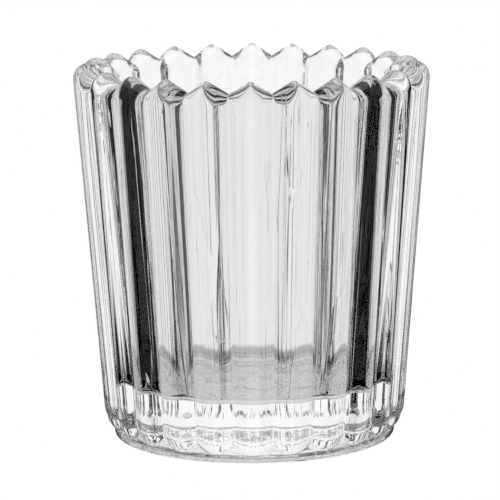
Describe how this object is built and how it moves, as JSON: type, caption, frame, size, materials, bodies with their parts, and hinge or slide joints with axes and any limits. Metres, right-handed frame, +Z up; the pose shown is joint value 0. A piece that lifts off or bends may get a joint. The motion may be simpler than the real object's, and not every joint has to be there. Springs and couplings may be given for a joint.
{
  "type": "tealight holder",
  "caption": "Tall ribbed tealight holder in clear pressed glass: a slightly tapered cup with a gabled, saw-edged rim, a round cavity and a plain round foot.",
  "frame": {"origin": "centre of the foot, on the surface that the cup stands on", "axes": "+Z up along the cup's axis; a rib's crest faces each of +X, -X, +Y and -Y, so no side is the front"},
  "size_m": [0.085, 0.085, 0.09],
  "materials": {
    "clear_glass": "polished"
  },
  "bodies": {
    "root": {"glass_cup": "clear_glass"}
  },
  "joints": []
}
